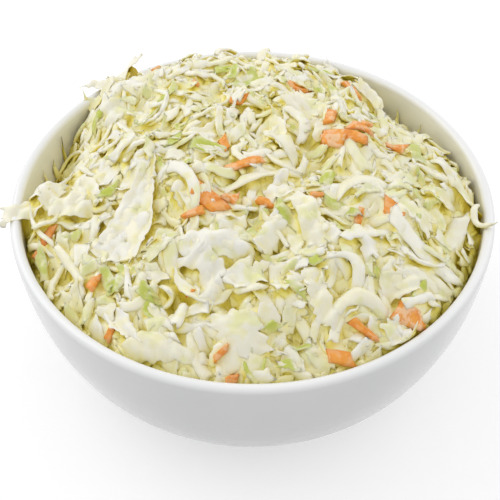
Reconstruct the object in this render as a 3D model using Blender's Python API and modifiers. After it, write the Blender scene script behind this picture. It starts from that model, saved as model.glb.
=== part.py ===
"""Coleslaw in a round white bowl.

Two solids: the bowl, turned from one profile, and the coleslaw that fills it, a heap out to its uneven outline.
Units are metres, +Z is up, and the origin is the centre of the foot's resting plane.
"""

import math

import bmesh
import bpy
from mathutils import Vector, noise

# Bowl
RIM_RADIUS = 0.080
BOWL_HEIGHT = 0.0665
LIP_THICKNESS = 0.0036
FOOT_RADIUS = 0.0445
FOOT_WIDTH = 0.004
FOOT_HEIGHT = 0.003
FOOT_EDGE = 0.0006
RECESS_RISE = 0.0022  # the underside inside the foot ring, above the resting plane
FLOOR_RADIUS = 0.038
FLOOR_HEIGHT = 0.008  # the inside floor, above the resting plane
WALL_ROUNDNESS = 2.1  # exponent of the wall's quarter superellipse; 2 is a plain ellipse
WALL_POINTS = 9
LIP_POINTS = 6
TURN_STEPS = 96
MERGE_DISTANCE = 0.00001

# Heap of coleslaw
CLEARANCE = 0.0004  # between the heap and the bowl
CROWN_RISE = 0.014  # the heap's middle above the rim
DOME_POWER = 3.0  # higher is flatter on top and steeper at the edge
HEAP_SEGMENTS = 72
HEAP_RINGS = 27
TOP_RINGS = 19  # of HEAP_RINGS, those that make the open surface
WALL_SHARE = 0.88  # of the rings in the bowl, the share that follow the wall; the rest cross the floor
EDGE_DEPTH = 0.0045  # how far below the rim the heap meets the wall, where nothing below changes it

# Where the edge lies lower or higher: azimuth and half width in degrees, extra depth in metres.
EDGE_CHANGES = (
    (165.0, 13.0, 0.0150),  # the deep gap at the back left
    (43.0, 23.0, 0.0085),  # the back right, where a strip of wall is bare
    (104.0, 38.0, -0.0036),  # the back, full to the rim
    (226.0, 26.0, 0.0020),
)

# Rises and hollows on the open surface: x and y, radius and height, in metres.
MOUNDS = (
    (-0.036, 0.004, 0.018, 0.0040),
    (-0.006, -0.012, 0.020, 0.0025),
    (0.034, 0.022, 0.020, 0.0030),
    (-0.046, 0.046, 0.016, 0.0085),
    (-0.014, 0.064, 0.020, 0.0050),
    (0.022, 0.062, 0.018, 0.0060),
    (0.044, -0.030, 0.018, 0.0030),
    (-0.046, -0.030, 0.013, -0.0040),
    (0.004, -0.046, 0.014, -0.0030),
)
LUMP_SIZES = ((0.017, 0.0052), (0.008, 0.0034))  # wavelength and full height of each layer of lumps
RELIEF_FADE = 8.0  # power of the share at which mounds and lumps fade out towards the wall


def superellipse(angle):
    """Across and up, each 0 to 1, on a quarter superellipse that starts level and ends upright."""
    power = 2.0 / WALL_ROUNDNESS
    across = max(math.sin(angle), 0.0) ** power
    up = 1.0 - max(math.cos(angle), 0.0) ** power
    return across, up


def outer_wall(angle):
    across, up = superellipse(angle)
    rise = BOWL_HEIGHT - LIP_THICKNESS / 2 - FOOT_HEIGHT
    return FOOT_RADIUS + (RIM_RADIUS - FOOT_RADIUS) * across, FOOT_HEIGHT + rise * up


def inner_wall(angle):
    across, up = superellipse(angle)
    rise = BOWL_HEIGHT - LIP_THICKNESS / 2 - FLOOR_HEIGHT
    reach = RIM_RADIUS - LIP_THICKNESS - FLOOR_RADIUS
    return FLOOR_RADIUS + reach * across, FLOOR_HEIGHT + rise * up


def inner_wall_angle(height):
    """The angle at which inner_wall reaches this height."""
    rise = BOWL_HEIGHT - LIP_THICKNESS / 2 - FLOOR_HEIGHT
    left = min(max(1.0 - (height - FLOOR_HEIGHT) / rise, 0.0), 1.0)
    return math.acos(left ** (WALL_ROUNDNESS / 2.0))


def quarter_angles(count):
    return [math.pi / 2 * i / count for i in range(count + 1)]


def bowl_profile():
    """Radius and height, from the inside floor's centre, over the lip and down to the underside's centre."""
    lip_radius = LIP_THICKNESS / 2
    lip_centre = RIM_RADIUS - lip_radius
    lip_angles = [math.pi * (1 - i / LIP_POINTS) for i in range(1, LIP_POINTS)]
    profile = [(0.0, FLOOR_HEIGHT)]
    profile += [inner_wall(a) for a in quarter_angles(WALL_POINTS)]
    profile += [
        (lip_centre + lip_radius * math.cos(a), BOWL_HEIGHT - lip_radius + lip_radius * math.sin(a))
        for a in lip_angles
    ]
    profile += [outer_wall(a) for a in reversed(quarter_angles(WALL_POINTS))]
    foot_inside = FOOT_RADIUS - FOOT_WIDTH
    profile += [
        (FOOT_RADIUS - FOOT_EDGE, FOOT_EDGE),
        (FOOT_RADIUS - 2 * FOOT_EDGE, 0.0),
        (foot_inside, 0.0),
        (foot_inside - FOOT_EDGE, FOOT_EDGE),
        (foot_inside - FOOT_EDGE, RECESS_RISE),
        (0.0, RECESS_RISE),
    ]
    return profile


def azimuth_distance(a, b):
    """Degrees between two azimuths, 0 to 180."""
    return abs((a - b + 180.0) % 360.0 - 180.0)


def edge_height(azimuth):
    """Where the heap meets the wall, as a height, for an azimuth in degrees."""
    depth = EDGE_DEPTH
    for centre, half_width, change in EDGE_CHANGES:
        depth += change * math.exp(-((azimuth_distance(azimuth, centre) / half_width) ** 2))
    return BOWL_HEIGHT - LIP_THICKNESS / 2 - depth


def heap_top(azimuth, share):
    """The open surface's point at this share, 0 to 1, of the way from the middle to the wall."""
    edge = edge_height(azimuth)
    wall_radius = inner_wall(inner_wall_angle(edge))[0] - CLEARANCE
    turn = math.radians(azimuth)
    x = wall_radius * share * math.cos(turn)
    y = wall_radius * share * math.sin(turn)
    crown = BOWL_HEIGHT + CROWN_RISE
    z = edge + CLEARANCE + (crown - edge) * (1.0 - share**DOME_POWER)
    relief = 0.0
    for mound_x, mound_y, radius, height in MOUNDS:
        relief += height * math.exp(-(math.hypot(x - mound_x, y - mound_y) / radius) ** 2)
    for layer, (wavelength, height) in enumerate(LUMP_SIZES):
        place = Vector((x / wavelength, y / wavelength, layer + 0.5))
        relief += height * noise.noise(place)
    return Vector((x, y, z + relief * (1.0 - share**RELIEF_FADE)))


def heap_under(azimuth, share):
    """A point of the side in the bowl, at this share of the way from the edge to the floor's middle."""
    steepest = inner_wall_angle(edge_height(azimuth))
    radius, z = inner_wall(steepest * max(0.0, 1.0 - share / WALL_SHARE))
    if share > WALL_SHARE:
        radius *= (1.0 - share) / (1.0 - WALL_SHARE)
    radius = max(radius - CLEARANCE, 0.0)
    turn = math.radians(azimuth)
    return Vector((radius * math.cos(turn), radius * math.sin(turn), z + CLEARANCE))


def material(name, colour, roughness):
    made = bpy.data.materials.new(name)
    made.use_nodes = True
    shader = made.node_tree.nodes["Principled BSDF"]
    shader.inputs["Base Color"].default_value = (*colour, 1.0)
    shader.inputs["Roughness"].default_value = roughness
    shader.inputs["Metallic"].default_value = 0.0
    made.diffuse_color = (*colour, 1.0)
    return made


def add_object(name, mesh, finish, collection):
    made = bpy.data.objects.new(name, mesh)
    made.data.materials.append(finish)
    collection.objects.link(made)
    return made


def make_bowl(collection):
    """The bowl: one closed profile, turned about the Z axis."""
    mesh = bpy.data.meshes.new("bowl")
    points = [(radius, 0.0, z) for radius, z in bowl_profile()]
    edges = [(i, i + 1) for i in range(len(points) - 1)]
    mesh.from_pydata(points, edges, [])
    bowl = add_object("bowl", mesh, material("white_porcelain", (0.86, 0.86, 0.86), 0.18), collection)
    turned = bowl.modifiers.new("turned", "SCREW")
    turned.axis = "Z"
    turned.angle = math.tau
    turned.steps = TURN_STEPS
    turned.render_steps = TURN_STEPS
    turned.use_merge_vertices = True
    turned.merge_threshold = MERGE_DISTANCE
    turned.use_smooth_shade = True
    return bowl


def make_heap(collection):
    """The heap: a sphere's rings, laid over the open surface and then down the inside of the bowl."""
    form = bmesh.new()
    bmesh.ops.create_uvsphere(form, u_segments=HEAP_SEGMENTS, v_segments=HEAP_RINGS, radius=1.0)
    for vertex in form.verts:
        ring = round(math.acos(max(-1.0, min(1.0, vertex.co.z))) / math.pi * HEAP_RINGS)
        azimuth = math.degrees(math.atan2(vertex.co.y, vertex.co.x)) % 360.0
        if ring <= TOP_RINGS:
            vertex.co = heap_top(azimuth, ring / TOP_RINGS)
        else:
            vertex.co = heap_under(azimuth, (ring - TOP_RINGS) / (HEAP_RINGS - TOP_RINGS))
    mesh = bpy.data.meshes.new("coleslaw_heap")
    form.to_mesh(mesh)
    form.free()
    mesh.shade_smooth()
    return add_object("coleslaw_heap", mesh, material("dressed_cabbage", (0.80, 0.76, 0.52), 0.45), collection)


def main():
    for leftover in list(bpy.data.objects):
        bpy.data.objects.remove(leftover)
    collection = bpy.data.collections.new("bowl_of_coleslaw")
    bpy.context.scene.collection.children.link(collection)
    make_bowl(collection)
    make_heap(collection)


main()
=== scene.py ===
"""Looks of the bowl of coleslaw: a glazed bowl, and a heap built from its cabbage and carrot shreds.

The heap is laid as a real one falls. Each shred comes down at some place and turn on whatever lies there
already, bends over it, and raises the surface for the next one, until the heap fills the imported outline.
Lengths are in millimetres up to the point where a mesh is made, and the frame's metres from there on.
"""

import math
from dataclasses import dataclass

import bpy
import numpy as np
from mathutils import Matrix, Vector
from mathutils.bvhtree import BVHTree


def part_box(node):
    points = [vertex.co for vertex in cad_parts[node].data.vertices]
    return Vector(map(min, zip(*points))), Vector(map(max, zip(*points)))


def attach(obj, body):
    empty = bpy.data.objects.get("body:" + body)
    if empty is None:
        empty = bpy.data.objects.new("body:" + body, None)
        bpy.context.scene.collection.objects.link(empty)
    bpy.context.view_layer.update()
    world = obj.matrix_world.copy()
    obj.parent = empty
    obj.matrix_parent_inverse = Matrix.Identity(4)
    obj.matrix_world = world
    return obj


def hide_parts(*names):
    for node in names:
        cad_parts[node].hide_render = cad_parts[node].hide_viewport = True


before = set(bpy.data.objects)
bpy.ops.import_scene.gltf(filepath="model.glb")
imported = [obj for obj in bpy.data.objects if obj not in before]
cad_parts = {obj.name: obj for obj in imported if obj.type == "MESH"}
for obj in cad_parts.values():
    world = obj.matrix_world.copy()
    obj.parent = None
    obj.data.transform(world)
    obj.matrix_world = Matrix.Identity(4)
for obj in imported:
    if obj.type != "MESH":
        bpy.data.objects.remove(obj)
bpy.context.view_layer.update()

MM = 0.001
SEED = 629
rng = np.random.default_rng(SEED)

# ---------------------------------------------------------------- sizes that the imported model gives
RIM_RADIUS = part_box("bowl")[1].x / MM
BOWL_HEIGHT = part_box("bowl")[1].z / MM

# ---------------------------------------------------------------- the rest of the bowl, as in the CAD
LIP_THICKNESS = 3.6
FOOT_RADIUS = 44.5
FOOT_WIDTH = 4.0
FOOT_HEIGHT = 3.0
FOOT_EDGE = 0.6
RECESS_RISE = 2.2
FLOOR_RADIUS = 38.0
FLOOR_HEIGHT = 8.0
WALL_ROUNDNESS = 2.1
WALL_POINTS = 36
LIP_POINTS = 16
TURN_STEPS = 224

# ---------------------------------------------------------------- the heap
FILL_DEPTH = 6.0  # shreds are laid from this far under the outline
CORE_DEPTH = 0.3  # the core lies this far under the lowest place nearby on the finished heap
CORE_STEPS = 400  # points around the core
CORE_RINGS = 150  # from its middle to the wall
CORE_SKIRT = 9.0  # how far down the wall the core reaches, out of sight
CELL = 0.5  # of the height field
FIELD_RADIUS = 90.0
WALL_GAP = 0.25  # shreds keep this far from the wall
INNER_RIM_RADIUS = RIM_RADIUS - LIP_THICKNESS
STEEPEST = 1.1  # slope at which a shred may follow what lies under it
STEEPEST_LEAN = 1.2  # slope by which it may lean out of that
HALF_SHRED = 0.5  # the wall keeps this much further from a shred's middle surface
SINK = 0.38  # share of a shred's points that may dip into what lies under it
RIM_SINK = 0.06  # the same for a piece on the rim
TRIES = 3  # ways in which each dropped shred is tried
SPOTS_PER_TRY = 12  # places compared for each way; the emptiest is taken
WALL_BAND = 9.0  # width of the band in which shreds are dropped beside the wall
SIZE_FRONT_TO_BACK = ((-40, 50), (1.18, 0.9))  # y, and how much larger than drawn a shred is cut there
TILT_FRONT_TO_BACK = ((0, 50), (1.0, 1.5))  # y, and how much more than its kind a shred is tilted there
SKY_REACHES = (1.0, 2.0, 3.5, 5.5, 8.0)  # how far off the heap is looked at for what hides the sky
SKY_TURNS = 12
BURIED_FROM = 0.8  # depth under other shreds at which a point starts to count as closed in
BURIED_TO = 4.8  # and at which it is fully closed in
# painted shade on the undersides of shreds, for the shade under each one
UNDERSIDE_PAINTED_SHADE = 0.25  # how much more closed in a shred's underside counts
CORE_TOP = BOWL_HEIGHT + 20.0  # the core stays under this, also below the highest shreds
CORE_LUMPS = 0.6  # usual height of its lumps
CORE_OVERLAP = 0.3  # how far its edge reaches into the wall, so that no gap shows

# The fill, pass by pass: how many shreds of each kind, and whether they go beside the wall only.
FILL_PASSES = (
    ({"flakes": 120, "long_shreds": 180, "short_shreds": 300, "chopped_bits": 150}, False),
    ({"flakes": 60, "short_shreds": 110, "chopped_bits": 70}, True),
    (
        {
            "leaf_pieces": 60, "flakes": 250, "long_shreds": 250, "short_shreds": 220, "chopped_bits": 140,
            "green_bits": 60,
        },
        False,
    ),
    ({"flakes": 40, "short_shreds": 60, "chopped_bits": 50}, True),
    (
        {
            "leaf_pieces": 50, "flakes": 130, "long_shreds": 240, "short_shreds": 170, "chopped_bits": 90,
            "green_bits": 50,
        },
        False,
    ),
)

# ---------------------------------------------------------------- the light
WORLD_LIGHT = 0.80  # the white world as a light; the camera and reflections see it as full white
LAMP_TARGET = (0, 0, 0.06)  # lamps' places and sizes are in metres
LAMP_SIZE = 0.9
KEY_PLACE = (-0.62, 0.28, 0.62)
KEY_POWER = 2.6
FILL_PLACE = (0.65, 0.25, 0.50)
FILL_POWER = 1.2
FLOOR_AS_LIGHT = (0.34, 0.34, 0.35, 1.0)
FLOOR_AS_SEEN = (0.55, 0.55, 0.55, 1.0)
FLOOR_GLOW = 0.5
FLOOR_HALF_SIDE = 3.0
FLOOR_DROP = 0.0003  # under the resting plane


# ================================================================ the bowl's shape
def superellipse(angle):
    """Across and up, each 0 to 1, on a quarter superellipse that starts level and ends upright."""
    power = 2.0 / WALL_ROUNDNESS
    return np.sin(angle) ** power, 1.0 - np.clip(np.cos(angle), 0.0, 1.0) ** power


def wall_curve(angle, foot_radius, foot_height, rim_radius):
    across, up = superellipse(angle)
    top = BOWL_HEIGHT - LIP_THICKNESS / 2
    return foot_radius + (rim_radius - foot_radius) * across, foot_height + (top - foot_height) * up


def inner_radius(z):
    """The inner wall's radius at a height; above the lip's middle it stays at the lip's inner edge."""
    rise = BOWL_HEIGHT - LIP_THICKNESS / 2 - FLOOR_HEIGHT
    left = np.clip(1.0 - (np.asarray(z) - FLOOR_HEIGHT) / rise, 0.0, 1.0)
    angle = np.arccos(left ** (WALL_ROUNDNESS / 2.0))
    return wall_curve(angle, FLOOR_RADIUS, FLOOR_HEIGHT, INNER_RIM_RADIUS)[0]


def bowl_profile():
    """Radius and height, from the inside floor over the lip and down the outside to the underside."""
    quarter = np.linspace(0.0, math.pi / 2, WALL_POINTS)
    lip_radius = LIP_THICKNESS / 2
    lip_angles = np.linspace(math.pi, 0.0, LIP_POINTS)[1:-1]
    lip = (
        RIM_RADIUS - lip_radius + lip_radius * np.cos(lip_angles),
        BOWL_HEIGHT - lip_radius + lip_radius * np.sin(lip_angles),
    )
    foot_inside = FOOT_RADIUS - FOOT_WIDTH
    foot = [
        (FOOT_RADIUS - 0.2 * FOOT_EDGE, FOOT_EDGE),
        (FOOT_RADIUS - FOOT_EDGE, 0.2 * FOOT_EDGE),
        (FOOT_RADIUS - 2 * FOOT_EDGE, 0.0),
        (foot_inside, 0.0),
        (foot_inside - FOOT_EDGE, FOOT_EDGE),
        (foot_inside - FOOT_EDGE, RECESS_RISE),
    ]
    runs = [
        np.stack(wall_curve(quarter, FLOOR_RADIUS, FLOOR_HEIGHT, INNER_RIM_RADIUS), -1),
        np.stack(lip, -1),
        np.stack(wall_curve(quarter[::-1], FOOT_RADIUS, FOOT_HEIGHT, RIM_RADIUS), -1),
        np.array(foot),
    ]
    return np.vstack(runs)


# ================================================================ mesh helpers
def add_mesh(name, points, faces, material):
    """A smooth-shaded mesh from points in millimetres, riding on the object's one body."""
    mesh = bpy.data.meshes.new(name)
    mesh.from_pydata((np.asarray(points) * MM).tolist(), [], [list(face) for face in faces])
    mesh.validate()
    mesh.shade_smooth()
    mesh.materials.append(material)
    made = bpy.data.objects.new(name, mesh)
    bpy.context.scene.collection.objects.link(made)
    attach(made, "root")
    return made


def ring_faces(ring_count, steps):
    """Faces of a closed surface whose points are a first pole, rings of steps points, and a last pole."""
    last_pole = 1 + ring_count * steps
    faces = []
    for i in range(steps):
        following = (i + 1) % steps
        faces.append((0, 1 + i, 1 + following))
        for ring in range(ring_count - 1):
            near = 1 + ring * steps
            far = near + steps
            faces.append((near + i, far + i, far + following, near + following))
        edge = 1 + (ring_count - 1) * steps
        faces.append((last_pole, edge + following, edge + i))
    return faces


def ring_points(first_pole, rings, last_pole):
    """rings is an array of ring, step and xyz."""
    return np.vstack([[first_pole], rings.reshape(-1, 3), [last_pole]])


def set_attribute(mesh, name, values):
    attribute = mesh.attributes.new(name, "FLOAT_COLOR", "POINT")
    padded = np.column_stack([values, np.ones(len(values))]).astype(np.float32)
    attribute.data.foreach_set("color", padded.ravel())


# ================================================================ materials
def linear(red, green, blue):
    """An sRGB colour, 0 to 255, as linear light."""
    channels = []
    for value in (red, green, blue):
        share = value / 255.0
        channels.append(share / 12.92 if share <= 0.04045 else ((share + 0.055) / 1.055) ** 2.4)
    return (*channels, 1.0)


class Finish:
    """A new material, with short calls for the nodes that the finishes below are made of."""

    def __init__(self, name):
        self.material = bpy.data.materials.new(name)
        self.material.use_nodes = True
        self.nodes = self.material.node_tree.nodes
        self.links = self.material.node_tree.links
        self.shader = self.nodes["Principled BSDF"]
        self.place = self.nodes.new("ShaderNodeTexCoord").outputs["Object"]

    def put(self, socket, value):
        """Links a node's output to a socket, or sets the socket to a plain value."""
        if isinstance(value, bpy.types.NodeSocket):
            self.links.new(value, socket)
        else:
            socket.default_value = value

    def set(self, name, value):
        self.put(self.shader.inputs[name], value)

    def noise(self, size, detail=2.0, roughness=0.5):
        """Smooth noise whose lumps are about size millimetres across, as a value around 0.5."""
        node = self.nodes.new("ShaderNodeTexNoise")
        node.inputs["Scale"].default_value = 1.0 / (size * MM)
        node.inputs["Detail"].default_value = detail
        node.inputs["Roughness"].default_value = roughness
        self.links.new(self.place, node.inputs["Vector"])
        return node.outputs["Fac"]

    def spread(self, value, low, high, to_low=0.0, to_high=1.0):
        """Stretches low..high of a value to to_low..to_high, softly and without going past them."""
        node = self.nodes.new("ShaderNodeMapRange")
        node.interpolation_type = "SMOOTHSTEP"
        self.put(node.inputs["Value"], value)
        node.inputs["From Min"].default_value = low
        node.inputs["From Max"].default_value = high
        node.inputs["To Min"].default_value = to_low
        node.inputs["To Max"].default_value = to_high
        return node.outputs["Result"]

    def mix(self, share, first, second):
        """The first colour where share is 0, the second where it is 1.

        The node has sockets for every type of value: 0 is the share, 6, 7 and output 2 are the colours.
        """
        node = self.nodes.new("ShaderNodeMix")
        node.data_type = "RGBA"
        self.put(node.inputs[0], share)
        self.put(node.inputs[6], first)
        self.put(node.inputs[7], second)
        return node.outputs[2]

    def math(self, operation, first, second):
        node = self.nodes.new("ShaderNodeMath")
        node.operation = operation
        node.use_clamp = True
        self.put(node.inputs[0], first)
        self.put(node.inputs[1], second)
        return node.outputs[0]

    def attribute(self, name):
        """The three channels of a colour attribute."""
        source = self.nodes.new("ShaderNodeAttribute")
        source.attribute_name = name
        split = self.nodes.new("ShaderNodeSeparateColor")
        self.links.new(source.outputs["Color"], split.inputs["Color"])
        return split.outputs[0], split.outputs[1], split.outputs[2]

    def bump(self, height, distance, strength):
        """distance is in millimetres."""
        node = self.nodes.new("ShaderNodeBump")
        node.inputs["Distance"].default_value = distance * MM
        node.inputs["Strength"].default_value = strength
        self.links.new(height, node.inputs["Height"])
        self.links.new(node.outputs["Normal"], self.shader.inputs["Normal"])


def porcelain():
    """White glaze: near white, with a very slight change of tone, and a smooth gloss."""
    finish = Finish("white_glaze")
    cloud = finish.spread(finish.noise(40.0), 0.3, 0.7)
    finish.set("Base Color", finish.mix(cloud, (0.83, 0.835, 0.84, 1.0), (0.87, 0.87, 0.87, 1.0)))
    finish.set("Roughness", finish.spread(finish.noise(12.0), 0.3, 0.7, 0.16, 0.24))
    finish.set("IOR", 1.5)
    finish.set("Coat Weight", 0.3)
    finish.set("Coat Roughness", 0.08)
    finish.bump(finish.noise(18.0), 0.05, 0.15)
    return finish.material


# Cabbage colours, as sRGB; the last three are painted shade, for where the heap closes the cabbage in.
WHITE_FLESH = linear(246, 243, 228)
CREAM_FLESH = linear(245, 240, 214)
YELLOW_LEAF = linear(239, 232, 174)
LIGHT_GREEN = linear(226, 226, 156)
GREEN_LEAF = linear(188, 198, 74)
SHADED_FLESH = linear(251, 241, 174)
DEEP_PAINTED_SHADE = linear(242, 227, 104)
DARK_PAINTED_SHADE = linear(196, 174, 30)


def cabbage(name):
    """Moist cabbage: white at its edges, cream, yellow and green between, with painted shade, yellower and
    darker, where the heap closes it in.
    """
    finish = Finish(name)
    tint, edge, painted_shade = finish.attribute("shade")
    flesh = finish.mix(finish.spread(tint, 0.0, 0.6), WHITE_FLESH, CREAM_FLESH)
    veins = finish.spread(finish.noise(5.0, detail=3.0), 0.52, 0.72, 0.0, 0.7)
    flesh = finish.mix(veins, flesh, YELLOW_LEAF)
    flesh = finish.mix(finish.spread(finish.noise(9.0), 0.54, 0.68, 0.0, 0.7), flesh, LIGHT_GREEN)
    green_share = finish.spread(tint, 0.6, 0.9)
    leaf_green = finish.math("MULTIPLY", green_share, finish.spread(finish.noise(5.0), 0.3, 0.55))
    flesh = finish.mix(leaf_green, flesh, GREEN_LEAF)
    pale_edge = finish.math("MULTIPLY", edge, finish.spread(finish.noise(4.5), 0.4, 0.6, 0.1, 0.6))
    flesh = finish.mix(pale_edge, flesh, WHITE_FLESH)
    # painted shade: the more the heap closes a point in, the yellower and darker it is painted, in three steps,
    # standing in for shade and the yellow light bounced between shreds
    flesh = finish.mix(finish.spread(painted_shade, 0.14, 0.55), flesh, SHADED_FLESH)
    flesh = finish.mix(finish.spread(painted_shade, 0.40, 0.80), flesh, DEEP_PAINTED_SHADE)
    flesh = finish.mix(finish.spread(painted_shade, 0.70, 1.0), flesh, DARK_PAINTED_SHADE)
    finish.set("Base Color", flesh)
    finish.set("Roughness", finish.spread(finish.noise(5.0), 0.35, 0.65, 0.32, 0.55))
    finish.set("Subsurface Weight", 0.2)
    finish.set("Subsurface Scale", 0.003)
    finish.set("Subsurface Radius", (1.0, 0.85, 0.4))
    finish.bump(finish.noise(2.2, detail=1.0), 0.3, 0.3)
    return finish.material


# Carrot colours, as sRGB.
CARROT_FLESH = linear(240, 160, 56)
CARROT_DEEP_TONE_AND_SHADE = linear(222, 124, 34)
CARROT_PALE = linear(246, 184, 104)
DRESSING_FILM = linear(244, 206, 164)


def carrot():
    """Orange carrot, deeper in places, with a thin film of dressing on some chips, and painted shade, deeper
    orange, where the heap closes a chip in.
    """
    finish = Finish("carrot_flesh")
    tint, _, painted_shade = finish.attribute("shade")
    flesh = finish.mix(finish.spread(finish.noise(3.0), 0.35, 0.65, 0.0, 0.6), CARROT_FLESH, CARROT_DEEP_TONE_AND_SHADE)
    flesh = finish.mix(finish.spread(finish.noise(1.0, detail=3.0), 0.5, 0.7, 0.0, 0.5), flesh, CARROT_PALE)
    film_share = finish.spread(tint, 0.0, 0.7, 0.25, 0.8)
    film = finish.math("MULTIPLY", film_share, finish.spread(finish.noise(2.5), 0.45, 0.6))
    flesh = finish.mix(film, flesh, DRESSING_FILM)
    # painted shade: deeper orange where the heap closes the chip in
    flesh = finish.mix(finish.spread(painted_shade, 0.3, 0.9), flesh, CARROT_DEEP_TONE_AND_SHADE)
    finish.set("Base Color", flesh)
    finish.set("Roughness", finish.spread(finish.noise(4.0), 0.35, 0.65, 0.35, 0.5))
    finish.set("Subsurface Weight", 0.15)
    finish.set("Subsurface Scale", 0.0015)
    finish.bump(finish.noise(1.4, detail=1.0), 0.25, 0.4)
    return finish.material


# ================================================================ the height field that shreds fall on
class Field:
    """Heights over a square grid, centred on the bowl's axis."""

    def __init__(self):
        self.count = int(2 * FIELD_RADIUS / CELL) + 1
        line = np.linspace(-FIELD_RADIUS, FIELD_RADIUS, self.count)
        self.x, self.y = np.meshgrid(line, line, indexing="ij")
        self.radius = np.hypot(self.x, self.y)
        self.z = np.zeros_like(self.x)

    def index(self, x, y):
        last = self.count - 1
        i = np.clip(np.rint((x + FIELD_RADIUS) / CELL).astype(int), 0, last)
        j = np.clip(np.rint((y + FIELD_RADIUS) / CELL).astype(int), 0, last)
        return i, j

    def at(self, x, y, values=None):
        return (self.z if values is None else values)[self.index(x, y)]

    def raise_to(self, points):
        i, j = self.index(points[..., 0].ravel(), points[..., 1].ravel())
        np.maximum.at(self.z, (i, j), points[..., 2].ravel())


def blurred(values, cells):
    """Three passes of a running mean, which come close to a Gaussian."""
    result = values
    width = 2 * cells + 1
    for _ in range(3):
        for axis in (0, 1):
            padding = [(0, 0), (0, 0)]
            padding[axis] = (cells + 1, cells)
            total = np.cumsum(np.pad(result, padding, mode="edge"), axis=axis)
            ahead = np.take(total, range(width, total.shape[axis]), axis=axis)
            behind = np.take(total, range(0, total.shape[axis] - width), axis=axis)
            result = (ahead - behind) / width
    return result


def lowest_near(values, cells):
    """The lowest value within this many cells, in a square."""
    result = values
    for axis in (0, 1):
        shifted = [np.roll(result, step, axis=axis) for step in range(-cells, cells + 1)]
        result = np.min(shifted, axis=0)
    return result


def heap_outline(field):
    """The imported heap's upper surface over the field; not a number where there is none."""
    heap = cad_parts["coleslaw_heap"]
    tree = BVHTree.FromPolygons([v.co for v in heap.data.vertices], [p.vertices for p in heap.data.polygons])
    down = Vector((0.0, 0.0, -1.0))
    heights = np.full(field.z.shape, np.nan)
    for i, j in np.argwhere(field.radius < INNER_RIM_RADIUS):
        start = Vector((field.x[i, j] * MM, field.y[i, j] * MM, 1.0))
        hit = tree.ray_cast(start, down)[0]
        if hit is not None:
            heights[i, j] = hit.z / MM
    return heights


def bowl_top(field):
    """The bowl's own upper surface: inner wall, lip, and a level a little under the rim outside it."""
    angles = np.linspace(0.0, math.pi / 2, 400)
    radii, heights = wall_curve(angles, FLOOR_RADIUS, FLOOR_HEIGHT, INNER_RIM_RADIUS)
    inside = np.interp(field.radius, radii, heights)
    lip_radius = LIP_THICKNESS / 2
    off_centre = np.clip(np.abs(field.radius - (RIM_RADIUS - lip_radius)), 0.0, lip_radius)
    lip = BOWL_HEIGHT - lip_radius + np.sqrt(lip_radius**2 - off_centre**2)
    under_rim = BOWL_HEIGHT - 5.0
    result = np.where(field.radius > INNER_RIM_RADIUS, lip, inside)
    return np.where(field.radius > RIM_RADIUS, under_rim, result)


# ================================================================ shreds
@dataclass
class Kind:
    """How one kind of shred is cut and how it lies. A pair is the range that each shred draws from."""

    length: tuple
    width: tuple
    thickness: tuple
    along: int  # points along a shred
    across: int  # points across it
    taper: float  # how much narrower the ends are than the middle
    tear: float  # depth of the torn edges, in millimetres
    notch: float  # depth of the split in an end, as a share of the length
    sway: float  # sideways bend, as a share of the length
    bow: float  # upward or downward bend of its own, as a share of the length
    crease: float  # slope by which it turns at each of its creases
    crumple: float  # height of its soft waves, in millimetres
    limpness: float  # 0 stays straight, 1 follows what it lies on
    tilt: float  # degrees by which it may lean out of the surface it lies on
    slack: float  # how far it may stand above the heap's outline, in millimetres
    tint: tuple  # 0 is white flesh, 1 is green leaf
    edge_power: float  # higher has squarer edges


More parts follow.
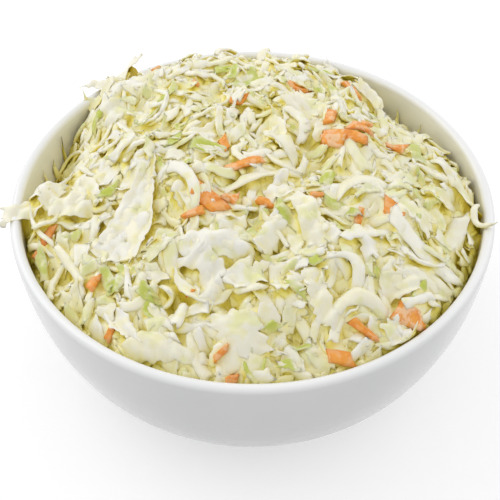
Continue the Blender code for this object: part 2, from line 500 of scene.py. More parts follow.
KINDS = {
    "broad_leaves": Kind(
        length=(14, 26), width=(6, 12), thickness=(0.6, 0.9), along=34, across=16,
        taper=0.3, tear=1.5, notch=0.25, sway=0.06, bow=0.05, crease=0.3,
        crumple=0.42, limpness=0.85, tilt=6, slack=2.0, tint=(0, 0.6), edge_power=4.0,
    ),
    "leaf_pieces": Kind(
        length=(9, 18), width=(5, 9), thickness=(0.5, 0.9), along=22, across=12,
        taper=0.3, tear=1.2, notch=0.25, sway=0.08, bow=0.05, crease=0.35,
        crumple=0.40, limpness=0.8, tilt=8, slack=2.0, tint=(0, 0.85), edge_power=4.0,
    ),
    "flakes": Kind(
        length=(4.5, 10), width=(3.2, 7), thickness=(0.6, 1.0), along=12, across=8,
        taper=0.3, tear=0.9, notch=0.2, sway=0.08, bow=0.06, crease=0.3,
        crumple=0.3, limpness=0.7, tilt=14, slack=1.6, tint=(0, 0.85), edge_power=4.0,
    ),
    "long_shreds": Kind(
        length=(9, 19), width=(2.4, 4.2), thickness=(1.0, 1.7), along=15, across=6,
        taper=0.35, tear=0.6, notch=0.12, sway=0.18, bow=0.09, crease=0.2,
        crumple=0.24, limpness=0.65, tilt=11, slack=2.0, tint=(0, 0.7), edge_power=4.0,
    ),
    "short_shreds": Kind(
        length=(4.5, 9), width=(2.4, 4.2), thickness=(0.9, 1.5), along=9, across=6,
        taper=0.35, tear=0.6, notch=0.0, sway=0.12, bow=0.07, crease=0.2,
        crumple=0.18, limpness=0.55, tilt=14, slack=1.4, tint=(0, 0.85), edge_power=4.0,
    ),
    "chopped_bits": Kind(
        length=(2.2, 4.5), width=(2.0, 3.4), thickness=(1.1, 1.9), along=6, across=5,
        taper=0.3, tear=0.4, notch=0.0, sway=0.08, bow=0.06, crease=0.1,
        crumple=0.1, limpness=0.3, tilt=18, slack=1.2, tint=(0, 0.8), edge_power=4.0,
    ),
    "green_bits": Kind(
        length=(4, 9), width=(2.6, 5.5), thickness=(0.6, 1.0), along=9, across=7,
        taper=0.3, tear=0.9, notch=0.0, sway=0.1, bow=0.08, crease=0.3,
        crumple=0.25, limpness=0.6, tilt=14, slack=1.4, tint=(0.85, 1), edge_power=4.0,
    ),
    "carrot_chips": Kind(
        length=(3, 7), width=(2.0, 3.5), thickness=(1.3, 1.9), along=11, across=7,
        taper=0.15, tear=0.2, notch=0.0, sway=0.03, bow=0.04, crease=0.12,
        crumple=0.06, limpness=0.3, tilt=10, slack=1.0, tint=(0, 0.7), edge_power=14.0,
    ),
}

# Pieces that stand out, laid one by one on the filled heap: kind, x, y, turn in degrees, length, width, bow, cup
# and notch. Bow and cup are shares of the length and width: above 0 the middle is high, or the long edges are.
NOTABLE = (
    ("broad_leaves", -12, -37, -3, 26, 8.5, 0.16, -0.15, 0.25),
    ("broad_leaves", -14, -43, -38, 15, 8, 0.05, -0.05, 0.0),
    ("broad_leaves", -1, -46, 22, 12, 8, 0.04, 0.0, 0.0),
    ("long_shreds", -15, -50, -16, 19, 5, 0.08, 0.1, 0.0),
    ("long_shreds", -1, -12, 30, 22, 4, 0.10, 0.0, 0.0),
    ("long_shreds", -20, -17, -62, 20, 3.6, 0.12, 0.0, 0.0),
    ("broad_leaves", 17, -27, -62, 21, 7, 0.14, -0.1, 0.0),
    ("broad_leaves", 8, -17, 25, 12, 6, 0.05, 0.1, 0.2),
    ("long_shreds", 52, -32, -39, 31, 5.5, 0.05, -0.1, 0.0),
    ("broad_leaves", 34, -33, -76, 16, 7.5, 0.08, -0.1, 0.15),
    ("long_shreds", 29, -44, -53, 14, 5, 0.15, 0.0, 0.0),
    ("broad_leaves", 44, -45, 18, 14, 9, 0.05, 0.15, 0.0),
    ("long_shreds", 30, -54, 13, 18, 5.5, 0.14, -0.1, 0.0),
    ("long_shreds", 49, -49, 32, 12, 3.5, 0.05, 0.0, 0.0),
    ("broad_leaves", 43, -60, -29, 11, 6, 0.05, 0.0, 0.0),
    ("broad_leaves", 20, -54, -70, 15, 6.5, 0.10, -0.1, 0.0),
    ("broad_leaves", -25, -65, -13, 26, 7.5, 0.06, -0.12, 0.0),
    ("long_shreds", -27, -58, -2, 8, 4.5, 0.0, 0.0, 0.0),
    ("long_shreds", -21, -56, 66, 7.5, 3.8, 0.0, -0.2, 0.0),
    ("broad_leaves", -4, -62, -2, 15, 12, 0.15, -0.15, 0.2),
    ("broad_leaves", -38, -57, -56, 12, 6, 0.05, 0.0, 0.2),
    ("broad_leaves", -55, -6, -63, 17, 8, 0.08, 0.12, 0.25),
    ("long_shreds", 36, 62, -40, 22, 4, 0.10, 0.0, 0.0),
    ("broad_leaves", 44, 50, -64, 22, 5, 0.10, 0.2, 0.0),
    ("broad_leaves", -6, 30, -75, 13, 6, 0.08, 0.0, 0.2),
    ("broad_leaves", 16, 41, -34, 12, 6, 0.05, 0.0, 0.2),
    ("long_shreds", 16, 16, -75, 15, 5, 0.10, 0.0, 0.0),
    ("broad_leaves", 8, 9, -61, 15, 7, 0.05, 0.15, 0.0),
    ("long_shreds", 11, 4, -44, 13, 4.5, 0.05, 0.0, 0.0),
    ("broad_leaves", 62, -8, 20, 17, 8, 0.08, 0.1, 0.3),
    ("broad_leaves", 50, -20, -43, 15, 7, 0.08, -0.1, 0.0),
    ("broad_leaves", 5, -31, 60, 14, 6, 0.08, 0.0, 0.2),
    ("long_shreds", -42, 8, 80, 15, 5, 0.08, 0.1, 0.2),
    ("long_shreds", 33, -12, 12, 16, 5, 0.08, 0.0, 0.2),
)

# Pieces at the bowl's edge, one by one: kind, x, y, turn, length, width, bow, and the slopes by which they rise
# along and across. They may lie on the rim and over it.
EDGE_PIECES = (
    ("broad_leaves", -74, -10, 18, 17, 9, 0.04, 0.1, 0.0),
    ("flakes", -72, -2, -35, 12, 7, 0.22, 0.25, 0.0),
    ("leaf_pieces", -67, -6, 5, 14, 7, 0.10, 0.1, 0.0),
    ("broad_leaves", -60, -12, -8, 17, 9, 0.08, 0.0, 0.0),
    ("long_shreds", -68, -19, -54, 16, 2.2, 0.06, 0.0, 0.0),
    ("long_shreds", -67, -25, -35, 12, 2.0, 0.05, 0.0, 0.0),
    ("long_shreds", -66, -18, 20, 9, 2.0, 0.16, 0.0, 0.0),
    ("flakes", -66, -31, -70, 10, 5, 0.05, 0.0, 0.0),
    ("broad_leaves", -55, 53, -34, 17, 7, 0.06, -0.15, 0.0),
    ("leaf_pieces", -56, 47, 5, 15, 6, 0.06, 0.0, 0.2),
    ("leaf_pieces", -49, 52, 70, 13, 7, 0.10, 0.3, 0.0),
    ("flakes", -46, 57, 65, 13, 7, 0.05, 0.8, 0.0),
    ("flakes", -52, 44, 20, 9, 6, 0.10, 0.2, 0.2),
    ("long_shreds", 4, 67, 80, 12, 4, 0.06, 0.3, 0.0),
    ("long_shreds", 18, 64, 60, 13, 3.5, 0.08, 0.3, 0.0),
    ("flakes", 27, 65, 70, 10, 6, 0.08, 0.4, 0.0),
    ("leaf_pieces", 35, 63, -30, 14, 7, 0.08, 0.0, 0.2),
    ("long_shreds", -10, 67, 40, 12, 4, 0.10, 0.2, 0.0),
    ("flakes", -26, 63, 20, 10, 6, 0.10, 0.2, 0.0),
    ("leaf_pieces", 44, 48, -60, 16, 7, 0.08, 0.0, 0.2),
    ("flakes", 48, 36, -50, 9, 6, 0.08, 0.2, 0.0),
    ("leaf_pieces", 71, -4, -50, 14, 7, 0.08, 0.0, -0.2),
    ("long_shreds", 73, -13, -80, 13, 2.6, 0.04, 0.0, 0.0),
    ("flakes", 66, 9, -40, 10, 6, 0.10, 0.0, 0.0),
)

# Hollows between the clumps: x, y, radius, depth.
HOLLOWS = (
    (-23, -49, 3.5, 4.5),
    (-33, -57, 3.0, 4.0),
    (-59, -36, 3.5, 4.5),
    (-53, -45, 3.0, 4.0),
    (-48, -2, 3.0, 4.0),
    (-26, -27, 3.5, 5.0),
    (6, -35, 2.5, 4.0),
    (-7, -54, 3.5, 4.5),
    (-12, -67, 3.5, 4.5),
    (26, -51, 3.5, 4.5),
    (13, -61, 3.0, 4.0),
    (55, -4, 3.0, 4.0),
    (62, -7, 2.5, 4.0),
    (70, -9, 3.0, 4.0),
    (64, -31, 3.5, 5.5),
    (66, -22, 3.0, 4.0),
    (15, -31, 3.0, 4.0),
    (40, -49, 3.0, 4.0),
    (-13, 12, 3.0, 4.0),
    (-38, 22, 3.0, 3.5),
    (22, 26, 3.0, 3.5),
    (-2, 44, 3.0, 3.5),
)

# Green bits that show: x, y, turn, length, width.
GREENS = (
    (-7, 47, 80, 8, 3.5),
    (-36, 25, 30, 9, 4),
    (-30, 32, 10, 9, 5),
    (-14, 2, -15, 12, 5),
    (10, -25, -50, 9, 4),
    (24, -8, 70, 8, 4),
    (27, -20, -30, 11, 5),
    (14, -64, 20, 6, 4),
    (10, -70, 0, 6, 3),
    (50, -46, 60, 7, 4),
    (57, -13, 40, 7, 3),
    (52, -24, 80, 7, 3),
    (-46, -10, 30, 8, 4),
    (5, -61, 30, 6, 3),
    (-22, -8, 45, 10, 3),
    (-30, -50, -20, 9, 4),
    (-55, 30, 60, 8, 4),
    (40, 30, -20, 8, 3),
)

# Carrot chips: x, y, turn in degrees, length, width, and how pointed the far end is.
CARROTS = (
    (17, 38, 15, 9, 4.6, 0.7),
    (36, 46, -35, 8.5, 3.6, 0.5),
    (26, 17, 75, 7, 4.0, 0.0),
    (30, 7, -22, 16, 4.2, 0.2),
    (26, 6, -25, 8, 4.6, 0.1),
    (35, 9, -30, 8, 3.2, 0.5),
    (38, 15, 45, 5.0, 2.5, 0.4),
    (48, 11, -10, 6, 4.4, 0.0),
    (-5, 27, -20, 6, 5.0, 0.4),
    (-9, 5, -70, 5.5, 3.6, 0.3),
    (-2, -6, 15, 12, 5.0, 0.7),
    (-14, -22, -40, 13, 7.0, 0.2),
    (-7, -20, 75, 5.5, 4.6, 0.0),
    (-18, -27, 180, 7.5, 2.6, 0.5),
    (4, -20, -15, 6, 3.2, 0.2),
    (20, -18, 25, 5, 2.8, 0.4),
    (33, -22, 70, 6, 2.8, 0.2),
    (44, -21, -30, 7.5, 5.8, 0.1),
    (-65, -20, 55, 7, 3.8, 0.4),
    (-67, -25, 50, 7, 4.2, 0.2),
    (-48, -42, 60, 5, 3.4, 0.3),
    (-42, -57, 60, 5, 3.0, 0.3),
    (-9, -67, 20, 5.5, 2.0, 0.0),
    (-6, -73, 10, 4, 2.8, 0.3),
    (46, -54, -10, 10.5, 7.5, 0.1),
    (32, -60, -30, 10, 2.8, 0.3),
    (25, -67, 0, 8, 4.6, 0.2),
    (-36, 57, -10, 4.5, 1.8, 0.3),
    (-20, 40, 0, 3.0, 1.8, 0.2),
    (-18, -50, 5, 3.5, 1.5, 0.3),
)

# The large leaf at the left: x, y, turn, length, width; and its shape, with a turned-up edge of rim millimetres.
LARGE_LEAF = (-37, -19, 74, 36, 17)
LARGE_LEAF_SHAPE = {"bow": 0.04, "notch": 0.0, "cup": 0.08, "point": 0.75, "rim": 2.4}

# The curled strip at the front left.
CURL = {
    "centre": (-27, -50, 71),
    "axis": (0.15, -0.8, 0.55),
    "radius": 3.3,
    "width": 4.8,
    "start": 110,
    "sweep": 240,
}


def wander(places, knot_gap, size):
    """A wavy line of values over places, that changes about every knot_gap."""
    low, high = places.min(), places.max()
    knots = max(3, int((high - low) / knot_gap) + 1)
    return np.interp(places, np.linspace(low, high, knots), rng.normal(0.0, size, knots))


def draw(pair):
    return rng.uniform(*pair)


class Form:
    """One shred before it is laid: for each point, its place along and across, its height and its thickness.

    What isn't given is drawn from the kind. Size multiplies the drawn length and width, point narrows the far
    end, and rim turns one long edge up by so many millimetres.
    """

    def __init__(
        self, kind, length=None, width=None, bow=None, notch=None, cup=None, point=0.0, rim=0.0, size=1.0
    ):
        length = length or draw(kind.length) * size
        width = width or draw(kind.width) * size
        turns = np.linspace(-math.pi / 2, math.pi / 2, kind.along)
        s = 0.5 * (np.sin(turns) + turns / (math.pi / 2))[:, None]
        t = np.sin(np.linspace(-math.pi / 2, math.pi / 2, kind.across))[None, :]
        half = length / 2 * s[:, 0]
        lean = rng.uniform(-0.8, 0.8)
        from_middle = np.abs(s[:, 0] + lean * (1 - s[:, 0] ** 2))
        narrowing = 1.0 - kind.taper * rng.uniform(0.2, 1.0) * from_middle**2.5
        narrowing = narrowing * (1.0 - point * (0.5 + 0.5 * s[:, 0]) ** 1.3)
        sides = []
        for _ in range(2):
            cut = wander(half, length / 3, 0.04 + 0.12 * min(kind.tear, 1.0)) + 1.0
            torn = wander(half, 1.0, kind.tear * 0.32) * min(1.0, width / 4)
            sides.append(np.maximum(width / 2 * narrowing * cut + torn, 0.1 * width))
        self.across = np.where(t < 0, t * sides[0][:, None], t * sides[1][:, None])
        ends = []
        for _ in range(2):
            slant = rng.uniform(-0.45, 0.45) * width * t[0]
            ends.append(slant + wander(t[0], 0.28, kind.tear * 0.7))
        notch = rng.uniform(0, kind.notch) if notch is None else notch
        split = rng.uniform(-0.4, 0.4)
        ends[1] = ends[1] - notch * length * np.exp(-(((t[0] - split) / 0.16) ** 2))
        reach = np.abs(s) ** 4
        self.along = length / 2 * s + reach * np.where(s < 0, -ends[0][None, :], ends[1][None, :])
        self.across = self.across + rng.normal(0, kind.sway) * length * (s**2 - 0.33)
        self.own = self.own_height(kind, s, t, length, width, bow, cup)
        self.own = self.own + rim * np.clip((-t - 0.5) / 0.5, 0.0, 1.0) ** 2
        rounding = np.sqrt(np.clip(1 - np.abs(t) ** kind.edge_power, 0, 1))
        rounding = rounding * np.sqrt(np.clip(1 - np.abs(s) ** (2 * kind.edge_power), 0, 1))
        body = 1.0 + wander(half, 2.5, 0.15)[:, None]
        self.thick = draw(kind.thickness) * rounding * body
        self.edge = np.clip(np.maximum(np.abs(t), np.abs(s)) * np.ones_like(self.along), 0, 1) ** 6
        self.length = length
        self.width = width
        self.fit_bends(kind.limpness)

    def own_height(self, kind, s, t, length, width, bow, cup):
        """The bends that a shred keeps wherever it lies: bow, cup, twist, creases and soft waves."""
        bow = rng.normal(0, kind.bow) if bow is None else bow
        cup = rng.normal(0, 0.14) if cup is None else cup
        height = bow * length * (0.33 - s**2) + cup * width * t**2
        height = height + rng.normal(0, 0.12) * width * s * t
        for _ in range(3):
            turn = rng.uniform(0, math.pi)
            past = self.along * math.cos(turn) + self.across * math.sin(turn)
            past = past - rng.uniform(-0.3, 0.3) * length
            crease = rng.normal(0, kind.crease)
            height = height + crease * (np.sqrt(past**2 + 0.16) - 0.4) * 0.5
        for _ in range(3):
            turn = rng.uniform(0, math.pi)
            wave = rng.uniform(3.0, 7.0)
            place = (self.along * math.cos(turn) + self.across * math.sin(turn)) / wave
            height = height + kind.crumple * wave / 5.0 * np.sin(math.tau * place + rng.uniform(0, math.tau))
        return height - height.mean()

    def fit_bends(self, limpness):
        """Prepares the fit of a shred's few ways to lie and bend to the heights under it."""
        a = (self.along / self.length * 2).ravel()
        b = (self.across / self.width * 2).ravel()
        self.ways = np.stack([np.ones_like(a), a, b, a * a, a * b, a**3, b * b, a * a * b], -1)
        resist = np.full(self.ways.shape[1], (1.0 - limpness) * len(a) * 0.25 + 1e-3)
        resist[:3] = 1e-6
        self.fit = np.linalg.solve(self.ways.T @ self.ways + np.diag(resist), self.ways.T)


class Heap:
    """The heap as it grows: its field, and the shreds laid so far."""

    def __init__(self):
        self.field = Field()
        self.outline = heap_outline(self.field)
        bowl = bowl_top(self.field)
        self.inside = ~np.isnan(self.outline)
        self.field.z = np.where(self.inside, np.maximum(self.outline - FILL_DEPTH, bowl), bowl)
        self.laid = {name: [] for name in KINDS}
        self.places = np.argwhere(self.inside & (self.field.radius < INNER_RIM_RADIUS - 1.5))
        near_wall = self.field.radius > inner_radius(np.nan_to_num(self.outline, nan=0.0)) - WALL_BAND
        self.wall_places = np.argwhere(self.inside & near_wall)
        for x, y, radius, depth in HOLLOWS:
            self.outline -= depth * np.exp(-(((self.field.x - x) ** 2 + (self.field.y - y) ** 2) / radius**2))

    def lie(self, form, x, y, yaw, lean_along=0.0, lean_across=0.0, sink=SINK):
        """The shred's middle surface when it lies there. Yaw is in radians; a lean is a slope."""
        along, across = form.along, form.across
        cos, sin = math.cos(yaw), math.sin(yaw)
        shrink_along = shrink_across = 1.0
        for _ in range(2):
            px = x + along * shrink_along * cos - across * shrink_across * sin
            py = y + along * shrink_along * sin + across * shrink_across * cos
            under = self.field.at(px, py)
            weights = form.fit @ under.ravel()
            weights[1] = np.clip(weights[1], -STEEPEST * form.length / 2, STEEPEST * form.length / 2)
            weights[2] = np.clip(weights[2], -STEEPEST * form.width / 2, STEEPEST * form.width / 2)
            weights[3:] = np.clip(weights[3:], -0.25 * form.length, 0.25 * form.length)
            slope_along = weights[1] * 2 / form.length / shrink_along + lean_along
            slope_across = weights[2] * 2 / form.width / shrink_across + lean_across
            shrink_along = 1.0 / math.sqrt(1.0 + slope_along**2)
            shrink_across = 1.0 / math.sqrt(1.0 + slope_across**2)
        level = (form.ways @ weights).reshape(under.shape)
        level = level + lean_along * along * shrink_along + lean_across * across * shrink_across
        level = level + form.own * min(shrink_along, shrink_across)
        gap = level - form.thick / 2 - under
        level = level - np.quantile(gap, sink)
        return np.stack([px, py, level], -1)

    def press_inside(self, points):
        """Moves points that are past the inner wall back to it, and says how far the worst one was."""
        radius = np.hypot(points[..., 0], points[..., 1])
        limit = inner_radius(points[..., 2]) - WALL_GAP - HALF_SHRED
        past = radius - limit
        scale = np.where(past > 0, limit / np.maximum(radius, 1e-6), 1.0)
        pressed = points.copy()
        pressed[..., 0] *= scale
        pressed[..., 1] *= scale
        return pressed, float(past.max())

    def keep(self, name, form, points, tint):
        self.laid[name].append((form, points, tint))
        self.field.raise_to(refined(points + np.array([0, 0, 0.5]) * form.thick[..., None]))

    def drop(self, name, beside_wall):
        """Lays one shred of a kind where the heap is still low, in the lowest of a few random ways."""
        kind = KINDS[name]
        places = self.wall_places if beside_wall else self.places
        best = None
        form = None
        for _ in range(TRIES):
            spots = places[rng.integers(0, len(places), SPOTS_PER_TRY)]
            i, j = spots[np.argmax((self.outline - self.field.z)[spots[:, 0], spots[:, 1]])]
            x, y = self.field.x[i, j], self.field.y[i, j]
            if form is None:
                form = Form(kind, size=float(np.interp(y, *SIZE_FRONT_TO_BACK)))
            yaw = rng.uniform(0, math.tau)
            if beside_wall:
                yaw = math.atan2(y, x) + math.pi / 2 + rng.normal(0, 0.35)
            tilt = kind.tilt * float(np.interp(y, *TILT_FRONT_TO_BACK))
            lean = np.clip(np.tan(np.radians(rng.normal(0, tilt, 2))), -STEEPEST_LEAN, STEEPEST_LEAN)
            points, past = self.press_inside(self.lie(form, x, y, yaw, *lean))
            if past > 0.2:
                nearer = 1.0 - (past + 0.1) / max(math.hypot(x, y), 1.0)
                points, past = self.press_inside(self.lie(form, x * nearer, y * nearer, yaw, *lean))
            outline = self.field.at(points[..., 0], points[..., 1], self.outline)
            over = points[..., 2] - np.nan_to_num(outline, nan=BOWL_HEIGHT - 4.0)
            too_high = max(np.quantile(over, 0.95) - kind.slack, 0)
            score = over.mean() + too_high * 1.5 + max(past - 1.5, 0) * 2
            if best is None or score < best[0]:
                best = (score, points, over)
        _, points, over = best
        if np.quantile(over, 0.9) <= kind.slack * 2:
            self.keep(name, form, points, draw(kind.tint))

    def place(self, name, x, y, turn, length, width, lean=(0.0, 0.0), inside=True, **shape):
        """Lays one piece where it is given. Inside keeps it within the bowl's wall."""
        form = Form(KINDS[name], length, width, **shape)
        points = self.lie(form, x, y, math.radians(turn), *lean, sink=SINK if inside else RIM_SINK)
        if inside:
            points = self.press_inside(points)[0]
        self.keep(name, form, points, draw(KINDS[name].tint))

    def curl(self, name, centre, axis, radius, width, start, sweep):
        """A strip rolled round an axis, from a start angle in degrees through its sweep."""
        form = Form(KINDS[name], math.radians(sweep) * radius, width, 0.0, 0.0, 0.0)
        along_axis = np.array(axis) / np.linalg.norm(axis)
        right = np.cross(along_axis, (0.0, 0.0, 1.0))
        right = right / np.linalg.norm(right)
        upward = np.cross(right, along_axis)
        angle = math.radians(start) + form.along / radius + math.radians(sweep) / 2
        out = (radius + 0.3 * form.own)[..., None]
        ring = out * (np.cos(angle)[..., None] * right + np.sin(angle)[..., None] * upward)
        points = np.array(centre) + ring + form.across[..., None] * along_axis
        self.keep(name, form, points, 0.2)


def refined(points):
    """The same surface with points about four times as close, for marking what it covers."""
    for axis in (0, 1):
        for _ in range(2):
            near = np.take(points, range(points.shape[axis] - 1), axis=axis)
            far = np.take(points, range(1, points.shape[axis]), axis=axis)
            middle = (near + far) / 2
            shape = list(points.shape)
            shape[axis] = 2 * points.shape[axis] - 1
            joined = np.empty(shape)
            even = [slice(None)] * 3
            odd = [slice(None)] * 3
            even[axis] = slice(0, None, 2)
            odd[axis] = slice(1, None, 2)
            joined[tuple(even)] = points
            joined[tuple(odd)] = middle
            points = joined
    return points


def shell_faces(along, across):
    """Faces of a closed shred: its upper grid, and its under grid, which share their outer points."""
    upper = np.arange(along * across).reshape(along, across)
    under = upper.copy()
    inner_count = (along - 2) * (across - 2)
    under[1:-1, 1:-1] = along * across + np.arange(inner_count).reshape(along - 2, across - 2)

    def quads(grid):
        return np.stack([grid[:-1, :-1], grid[1:, :-1], grid[1:, 1:], grid[:-1, 1:]], -1).reshape(-1, 4)

    return np.vstack([quads(upper), quads(under)[:, ::-1]])


def surface_normals(points):
    along = np.gradient(points, axis=0)
    across = np.gradient(points, axis=1)
    normal = np.cross(along, across)
    return normal / np.maximum(np.linalg.norm(normal, axis=-1, keepdims=True), 1e-9)


def closed_in(field, points):
    """How much of the sky the heap hides from each point, 0 to 1."""
    hidden = np.zeros(len(points))
    turns = np.linspace(0, math.tau, SKY_TURNS, endpoint=False)
    for turn in turns:
        steepest = np.zeros(len(points))
        for reach in SKY_REACHES:
            over = field.at(points[:, 0] + reach * math.cos(turn), points[:, 1] + reach * math.sin(turn))
            steepest = np.maximum(steepest, (over - points[:, 2]) / reach)
        hidden += steepest**2 / (1.0 + steepest**2)
    hidden = hidden / len(turns)
    depth = field.at(points[:, 0], points[:, 1]) - points[:, 2]
    buried = np.clip((depth - BURIED_FROM) / (BURIED_TO - BURIED_FROM), 0.0, 1.0)
    return 1.0 - (1.0 - hidden) * (1.0 - buried)


def make_shreds(heap, name, material):
    """One joined mesh of every shred of a kind."""
    kind = KINDS[name]
    faces = shell_faces(kind.along, kind.across)
    all_points, all_faces, all_shades = [], [], []
    count = 0
    for form, points, tint in heap.laid[name]:
        offset = surface_normals(points) * form.thick[..., None] / 2
        upper = points + offset
        under = (points - offset)[1:-1, 1:-1]
        placed = np.vstack([upper.reshape(-1, 3), under.reshape(-1, 3)])
        under_start = upper.shape[0] * upper.shape[1]
        edge = np.concatenate([form.edge.ravel(), form.edge[1:-1, 1:-1].ravel()])
        # how closed in each point is, which the materials paint as shade; undersides get more of it
        painted_shade = closed_in(heap.field, placed)
        painted_shade[under_start:] += UNDERSIDE_PAINTED_SHADE
        shade = np.column_stack([np.full(len(placed), tint), edge, np.clip(painted_shade, 0.0, 1.0)])
        all_points.append(placed)
        all_shades.append(shade)
        all_faces.append(faces + count)
        count += len(placed)
    made = add_mesh(name, np.vstack(all_points), np.vstack(all_faces).tolist(), material)
    set_attribute(made.data, "shade", np.vstack(all_shades))


# ================================================================ the pieces
def make_bowl(material):
    profile = bowl_profile()
    turns = np.linspace(0, math.tau, TURN_STEPS, endpoint=False)
    rings = np.stack(
        [
            profile[:, :1] * np.cos(turns),
            profile[:, :1] * np.sin(turns),
            profile[:, 1:] * np.ones(TURN_STEPS),
        ],
        -1,
    )
    points = ring_points((0, 0, FLOOR_HEIGHT), rings, (0, 0, RECESS_RISE))
    made = add_mesh("glazed_bowl", points, ring_faces(len(profile), TURN_STEPS), material)
    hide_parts("bowl")


def make_core(heap, material):
    """What shows between the shreds: a lumpy surface close under them, that goes a little way down the wall."""
    low = blurred(lowest_near(heap.field.z, 1), 2) - CORE_DEPTH
    lumps = blurred(rng.normal(0, 1, low.shape), 2)
    low = low + lumps / lumps.std() * CORE_LUMPS
    turns = np.linspace(0, math.tau, CORE_STEPS, endpoint=False)
    shares = np.linspace(0, 1, CORE_RINGS + 1)[1:]
    radius = shares[:, None] * (INNER_RIM_RADIUS - 1.2) * np.ones(CORE_STEPS)
    x = radius * np.cos(turns)
    y = radius * np.sin(turns)
    z = np.minimum(heap.field.at(x, y, low), CORE_TOP)
    limit = inner_radius(z) + CORE_OVERLAP
    scale = np.minimum(1.0, limit / radius)
    top = np.stack([x * scale, y * scale, z], -1)
    last = top[-1]
    outward = np.stack([np.cos(turns), np.sin(turns)], -1)
    skirt = []
    for drop in (0.0, CORE_SKIRT / 2, CORE_SKIRT):
        level = last[:, 2] - drop
        skirt.append(np.column_stack([outward * (inner_radius(level) + CORE_OVERLAP)[:, None], level]))
    rings = np.concatenate([top, np.stack(skirt)])
    middle = (0, 0, float(top[0, :, 2].mean()))
    bottom = (0, 0, float(rings[-1, :, 2].min()))
    points = ring_points(middle, rings, bottom)
    made = add_mesh("slaw_core", points, ring_faces(len(rings), CORE_STEPS), material)
    # how closed in the core is, which the material paints as shade
    hidden = closed_in(heap.field, points)
    middle_tint = np.full(len(points), 0.5)
    no_edge = np.zeros(len(points))
    set_attribute(made.data, "shade", np.column_stack([middle_tint, no_edge, hidden]))
    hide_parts("coleslaw_heap")


# ================================================================ floor, light and camera
def seen_directly(nodes, links):
    """1 where the camera sees a thing, also in a reflection or through glass; 0 where it only gives light."""
    path = nodes.new("ShaderNodeLightPath")
    total = path.outputs["Is Camera Ray"]
    for name in ("Is Glossy Ray", "Is Transmission Ray"):
        add = nodes.new("ShaderNodeMath")
        add.operation = "ADD"
        add.use_clamp = True
        links.new(total, add.inputs[0])
        links.new(path.outputs[name], add.inputs[1])
        total = add.outputs[0]
    return total


def make_floor():
    """White to the camera and in reflections, with a soft shadow, and duller as a light on the bowl's sides."""
    finish = Finish("pale_floor")
    seen = seen_directly(finish.nodes, finish.links)
    finish.set("Base Color", finish.mix(seen, FLOOR_AS_LIGHT, FLOOR_AS_SEEN))
    finish.set("Emission Color", (1.0, 1.0, 1.0, 1.0))
    finish.set("Emission Strength", finish.math("MULTIPLY", seen, FLOOR_GLOW))
    finish.set("Roughness", 0.9)
    mesh = bpy.data.meshes.new("floor")
    size = FLOOR_HALF_SIDE
    corners = [(-size, -size, 0), (size, -size, 0), (size, size, 0), (-size, size, 0)]
    mesh.from_pydata(corners, [], [(0, 1, 2, 3)])
    mesh.materials.append(finish.material)
    floor = bpy.data.objects.new("floor", mesh)
    floor.location.z = -FLOOR_DROP
    bpy.context.scene.collection.objects.link(floor)


def add_lamp(name, place, power):
    light = bpy.data.lights.new(name, "AREA")
    light.shape = "DISK"
    light.size = LAMP_SIZE
    light.energy = power
    lamp = bpy.data.objects.new(name, light)
    lamp.location = place
    aim = Vector(LAMP_TARGET) - Vector(place)
    lamp.rotation_euler = aim.to_track_quat("-Z", "Y").to_euler()
    bpy.context.scene.collection.objects.link(lamp)


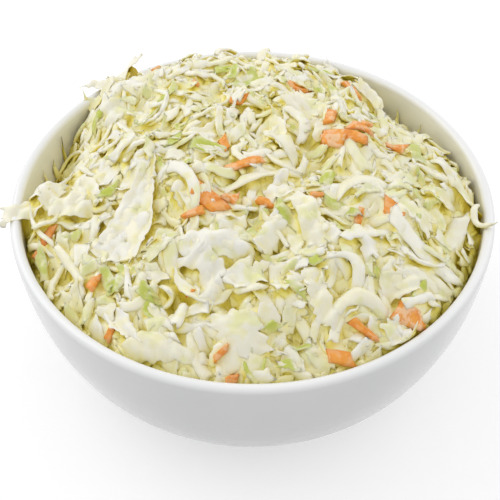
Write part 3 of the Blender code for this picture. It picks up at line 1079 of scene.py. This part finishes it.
def make_light():
    """A white studio: an even world, a broad key from the back left and a weaker fill from the right."""
    world = bpy.data.worlds.new("studio")
    world.use_nodes = True
    nodes, links = world.node_tree.nodes, world.node_tree.links
    background = nodes["Background"]
    background.inputs["Color"].default_value = (1.0, 1.0, 1.0, 1.0)
    strength = nodes.new("ShaderNodeMapRange")
    strength.inputs["To Min"].default_value = WORLD_LIGHT
    strength.inputs["To Max"].default_value = 1.0
    links.new(seen_directly(nodes, links), strength.inputs["Value"])
    links.new(strength.outputs["Result"], background.inputs["Strength"])
    bpy.context.scene.world = world
    add_lamp("key", KEY_PLACE, KEY_POWER)
    add_lamp("fill", FILL_PLACE, FILL_POWER)


def make_camera():
    """Looks down on the bowl from the front, from 304 mm away from the rim's centre."""
    distance = 0.304
    to_the_left = 0.0008
    elevation = math.radians(43.71)
    pitch = math.radians(47.47)
    camera = bpy.data.cameras.new("camera")
    camera.sensor_width = 36.0
    camera.lens = 65.4
    camera.clip_start = 0.01
    holder = bpy.data.objects.new("camera", camera)
    back = distance * math.cos(elevation)
    up = distance * math.sin(elevation)
    holder.location = (-to_the_left, -back, BOWL_HEIGHT * MM + up)
    holder.rotation_euler = (math.pi / 2 - pitch, 0.0, 0.0)
    bpy.context.scene.collection.objects.link(holder)
    bpy.context.scene.camera = holder


def fill(heap, counts, beside_wall):
    """Drops shreds of several kinds in a mixed order."""
    order = np.repeat(list(counts), list(counts.values()))
    rng.shuffle(order)
    for name in order:
        heap.drop(str(name), beside_wall)


def lay_by_hand(heap):
    """The carrot, the green bits, the pieces that stand out and those on the rim."""
    for x, y, turn, length, width, point in CARROTS:
        heap.place("carrot_chips", x, y, turn, length, width, bow=0.03, cup=0.0, point=point)
    for x, y, turn, length, width in GREENS:
        heap.place("green_bits", x, y, turn, length, width)
    heap.place("broad_leaves", *LARGE_LEAF, **LARGE_LEAF_SHAPE)
    for name, x, y, turn, length, width, bow, cup, notch in NOTABLE:
        heap.place(name, x, y, turn, length, width, bow=bow, cup=cup, notch=notch)
    for name, x, y, turn, length, width, bow, rise_along, rise_across in EDGE_PIECES:
        heap.place(name, x, y, turn, length, width, (rise_along, rise_across), False, bow=bow, point=0.1)
    heap.curl("long_shreds", **CURL)


def main():
    bpy.context.scene.view_settings.view_transform = "Standard"
    make_camera()
    make_light()
    make_floor()
    make_bowl(porcelain())
    heap = Heap()
    slaw = cabbage("dressed_cabbage")
    for counts, beside_wall in FILL_PASSES:
        fill(heap, counts, beside_wall)
    lay_by_hand(heap)
    make_core(heap, slaw)
    for name in KINDS:
        if name == "carrot_chips":
            make_shreds(heap, name, carrot())
        else:
            make_shreds(heap, name, slaw)


main()
